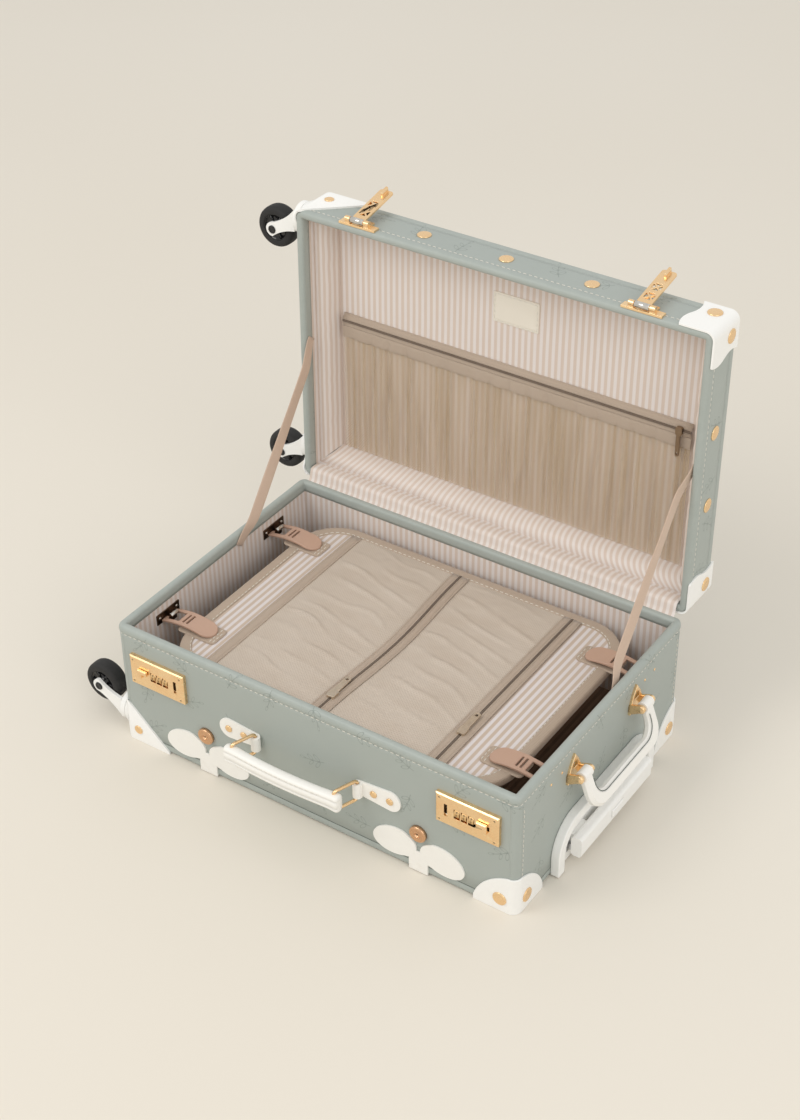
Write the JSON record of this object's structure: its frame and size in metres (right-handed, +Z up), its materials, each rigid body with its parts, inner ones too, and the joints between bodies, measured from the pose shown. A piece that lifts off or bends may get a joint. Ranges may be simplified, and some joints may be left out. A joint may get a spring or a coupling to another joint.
{
  "type": "carry-on suitcase",
  "caption": "Open leather trolley case with strap-held lid, corner guards, combination hasp locks, swivel casters, hung carry handle, end handle and telescoping trolley grip.",
  "frame": {"origin": "centre of the back panel's outer face, on which the case lies", "axes": "+X along the case to the handle end, -Y to the locks, +Z up out of the base"},
  "size_m": [0.5788, 0.4335, 0.5],
  "materials": {
    "board": "raw fibreboard",
    "sage_leather": "grained, satin",
    "white_leather": "smooth, satin",
    "white_plastic": "glossy",
    "black_plastic": "glossy",
    "black_rubber": "matt",
    "gold": "polished",
    "rose_gold": "polished",
    "stripe_fabric": "woven stripes",
    "tan_binding": "woven tape",
    "tan_mesh": "fine mesh",
    "tan_webbing": "woven webbing",
    "tan_plastic": "moulded, matt",
    "cream_leather": "smooth",
    "bronze_steel": "plated",
    "hinge_steel": "plated",
    "tube_metal": "anodised"
  },
  "bodies": {
    "base": {"base_board": "board", "base_cover": "sage_leather", "base_lining": "stripe_fabric", "base_floor_panel": "stripe_fabric", "base_corner_guards": "white_leather", "base_caster_housings": "white_plastic", "base_studs_and_rivets": "gold", "leather_tabs": "white_leather", "lock_plates": "gold", "side_handle_brackets": "gold", "trolley_bezel": "white_plastic", "trolley_outer_tubes": "tube_metal", "hinge_base_leaves": "hinge_steel", "wall_clips": "bronze_steel", "stay_straps": "tan_webbing"},
    "divider": {"divider_panel": "stripe_fabric", "divider_trim": "tan_binding", "divider_pockets": "tan_mesh", "hook_buckles": "tan_plastic"},
    "lid": {"lid_board": "board", "lid_cover": "sage_leather", "lid_lining": "stripe_fabric", "lid_pads": "stripe_fabric", "lid_pocket": "tan_mesh", "lid_zip_tape": "tan_binding", "lid_label": "cream_leather", "lid_corner_guards": "white_leather", "lid_caster_housings": "white_plastic", "lid_rivets": "gold", "hasp_plates": "gold", "hinge_lid_leaves": "hinge_steel"},
    "hasp_left": {"hasp_left": "gold"},
    "hasp_right": {"hasp_right": "gold"},
    "handle_ring_left": {"handle_ring_left": "gold"},
    "handle_ring_right": {"handle_ring_right": "gold"},
    "carry_handle": {"carry_handle": "white_leather"},
    "side_handle": {"side_handle": "white_leather"},
    "trolley_mid": {"trolley_mid_tubes": "tube_metal"},
    "trolley_handle": {"trolley_inner_tubes": "tube_metal", "trolley_grip": "white_plastic"},
    "trolley_button": {"trolley_button": "white_plastic"},
    "divider_zip_pull_1": {"divider_zip_pull_1": "rose_gold"},
    "divider_zip_pull_2": {"divider_zip_pull_2": "rose_gold"},
    "lid_zip_pull": {"lid_zip_pull": "rose_gold"},
    "release_slide_left": {"release_slide_left": "gold"},
    "release_slide_right": {"release_slide_right": "gold"},
    "base_front_fork": {"base_front_fork": "white_plastic"},
    "base_front_wheel": {"base_front_wheel": "black_rubber"},
    "base_rear_fork": {"base_rear_fork": "white_plastic"},
    "base_rear_wheel": {"base_rear_wheel": "black_rubber"},
    "lid_front_fork": {"lid_front_fork": "white_plastic"},
    "lid_front_wheel": {"lid_front_wheel": "black_rubber"},
    "lid_rear_fork": {"lid_rear_fork": "white_plastic"},
    "lid_rear_wheel": {"lid_rear_wheel": "black_rubber"},
    "dial_left_1": {"dial_left_1": "rose_gold"},
    "dial_left_2": {"dial_left_2": "rose_gold"},
    "dial_left_3": {"dial_left_3": "rose_gold"},
    "dial_right_1": {"dial_right_1": "rose_gold"},
    "dial_right_2": {"dial_right_2": "rose_gold"},
    "dial_right_3": {"dial_right_3": "rose_gold"}
  },
  "joints": [
    {"name": "lid_hinge", "type": "hinge", "parent": "base", "child": "lid", "pos_m": [0, 0.1642, 0.1482], "axis": [1, 0, 0], "range_deg": [0, 91], "deforming": ["stay_straps"]},
    {"name": "divider_lift", "type": "slide", "parent": "base", "child": "divider", "axis": [0, 0, 1], "range_m": [0, 0.03]},
    {"name": "divider_zip_1", "type": "slide", "parent": "divider", "child": "divider_zip_pull_1", "axis": [0, 1, 0], "range_m": [-0.02, 0.2]},
    {"name": "divider_zip_2", "type": "slide", "parent": "divider", "child": "divider_zip_pull_2", "axis": [0, 1, 0], "range_m": [-0.04, 0.18]},
    {"name": "lid_zip", "type": "slide", "parent": "lid", "child": "lid_zip_pull", "axis": [-1, 0, 0], "range_m": [0, 0.38]},
    {"name": "side_handle_pivot", "type": "hinge", "parent": "base", "child": "side_handle", "pos_m": [0.253, 0, 0.112], "axis": [0, -1, 0], "range_deg": [0, 140]},
    {"name": "trolley_lower_slide", "type": "slide", "parent": "base", "child": "trolley_mid", "axis": [1, 0, 0], "range_m": [0, 0.19]},
    {"name": "trolley_upper_slide", "type": "slide", "parent": "trolley_mid", "child": "trolley_handle", "axis": [1, 0, 0], "range_m": [0, 0.19]},
    {"name": "trolley_button_press", "type": "slide", "parent": "trolley_handle", "child": "trolley_button", "axis": [-1, 0, 0], "range_m": [0, 0.003], "stiffness_N_per_m": 300},
    {"name": "hasp_left_pivot", "type": "hinge", "parent": "lid", "child": "hasp_left", "pos_m": [-0.1635, 0.17339, 0.48009], "axis": [1, 0, 0], "range_deg": [0, 168]},
    {"name": "release_left_slide", "type": "slide", "parent": "base", "child": "release_slide_left", "axis": [-1, 0, 0], "range_m": [0, 0.005], "stiffness_N_per_m": 150},
    {"name": "dial_left_1_spin", "type": "hinge", "parent": "base", "child": "dial_left_1", "pos_m": [-0.176, -0.1621, 0.101], "axis": [1, 0, 0], "continuous": true},
    {"name": "dial_left_2_spin", "type": "hinge", "parent": "base", "child": "dial_left_2", "pos_m": [-0.184, -0.1621, 0.101], "axis": [1, 0, 0], "continuous": true},
    {"name": "dial_left_3_spin", "type": "hinge", "parent": "base", "child": "dial_left_3", "pos_m": [-0.192, -0.1621, 0.101], "axis": [1, 0, 0], "continuous": true},
    {"name": "hasp_right_pivot", "type": "hinge", "parent": "lid", "child": "hasp_right", "pos_m": [0.1635, 0.17339, 0.48009], "axis": [1, 0, 0], "range_deg": [0, 168]},
    {"name": "release_right_slide", "type": "slide", "parent": "base", "child": "release_slide_right", "axis": [1, 0, 0], "range_m": [0, 0.005], "stiffness_N_per_m": 150},
    {"name": "dial_right_1_spin", "type": "hinge", "parent": "base", "child": "dial_right_1", "pos_m": [0.176, -0.1621, 0.101], "axis": [1, 0, 0], "continuous": true},
    {"name": "dial_right_2_spin", "type": "hinge", "parent": "base", "child": "dial_right_2", "pos_m": [0.184, -0.1621, 0.101], "axis": [1, 0, 0], "continuous": true},
    {"name": "dial_right_3_spin", "type": "hinge", "parent": "base", "child": "dial_right_3", "pos_m": [0.192, -0.1621, 0.101], "axis": [1, 0, 0], "continuous": true},
    {"name": "ring_left_pivot", "type": "hinge", "parent": "base", "child": "handle_ring_left", "pos_m": [-0.062, -0.166, 0.076], "axis": [0, 0, 1], "range_deg": [-45, 85]},
    {"name": "ring_right_pivot", "type": "hinge", "parent": "base", "child": "handle_ring_right", "pos_m": [0.062, -0.166, 0.076], "axis": [0, 0, 1], "range_deg": [-45, 85]},
    {"name": "carry_handle_pivot", "type": "hinge", "parent": "handle_ring_left", "child": "carry_handle", "pos_m": [-0.07158, -0.19231, 0.076], "axis": [0, 0, 1], "range_deg": [-85, 45]},
    {"name": "base_front_swivel", "type": "hinge", "parent": "base", "child": "base_front_fork", "pos_m": [-0.24, -0.139, 0.022], "axis": [1, 0, 0], "continuous": true},
    {"name": "base_front_roll", "type": "hinge", "parent": "base_front_fork", "child": "base_front_wheel", "pos_m": [-0.284, -0.139, 0.04], "axis": [0, 1, 0], "continuous": true},
    {"name": "base_rear_swivel", "type": "hinge", "parent": "base", "child": "base_rear_fork", "pos_m": [-0.24, 0.139, 0.022], "axis": [1, 0, 0], "continuous": true},
    {"name": "base_rear_roll", "type": "hinge", "parent": "base_rear_fork", "child": "base_rear_wheel", "pos_m": [-0.284, 0.139, 0.04], "axis": [0, 1, 0], "continuous": true},
    {"name": "lid_front_swivel", "type": "hinge", "parent": "lid", "child": "lid_front_fork", "pos_m": [-0.24, 0.19969, 0.45083], "axis": [1, 0, 0], "continuous": true},
    {"name": "lid_front_roll", "type": "hinge", "parent": "lid_front_fork", "child": "lid_front_wheel", "pos_m": [-0.284, 0.19937, 0.43283], "axis": [0, -0.9998, 0.0175], "continuous": true},
    {"name": "lid_rear_swivel", "type": "hinge", "parent": "lid", "child": "lid_rear_fork", "pos_m": [-0.24, 0.19484, 0.17287], "axis": [1, 0, 0], "continuous": true},
    {"name": "lid_rear_roll", "type": "hinge", "parent": "lid_rear_fork", "child": "lid_rear_wheel", "pos_m": [-0.284, 0.19452, 0.15487], "axis": [0, -0.9998, 0.0175], "continuous": true}
  ],
  "couplings": [
    {"joint": "ring_right_pivot", "follows": "ring_left_pivot", "ratio": 1},
    {"joint": "carry_handle_pivot", "follows": "ring_left_pivot", "ratio": -1}
  ]
}
